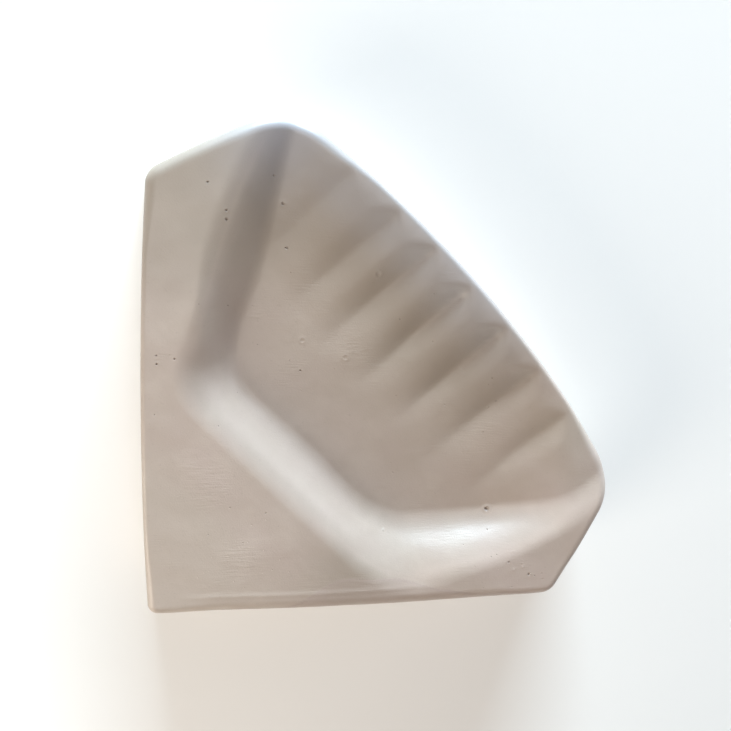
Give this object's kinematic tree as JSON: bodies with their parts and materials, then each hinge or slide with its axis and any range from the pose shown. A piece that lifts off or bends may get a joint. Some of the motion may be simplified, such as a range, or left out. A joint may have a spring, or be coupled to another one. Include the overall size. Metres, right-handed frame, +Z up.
{
  "type": "plaster mold",
  "caption": "Open one-part plaster mold in the form of a ribbed corner soap dish: square back corner, flat rim, sloping hollow and drain grooves to a curved front lip.",
  "frame": {"origin": "middle of the base, on the plane that the mold rests on", "axes": "+Z up out of the hollow, +Y towards the square back corner, -Y towards the curved front lip, X across"},
  "size_m": [0.2872, 0.2204, 0.05],
  "materials": {
    "sealed_plaster": "satin, sealed and handled plaster",
    "raw_plaster": "matt, screeded plaster",
    "jute_scrim": "open weave soaked in plaster",
    "bar_steel": "dull mild steel bar"
  },
  "bodies": {
    "root": {"face_coat": "sealed_plaster", "scrim_layer": "jute_scrim", "backing_pour": "raw_plaster", "back_pour": "raw_plaster", "front_bar": "bar_steel", "middle_bar": "bar_steel", "left_leg_bar": "bar_steel", "right_leg_bar": "bar_steel"}
  },
  "joints": []
}
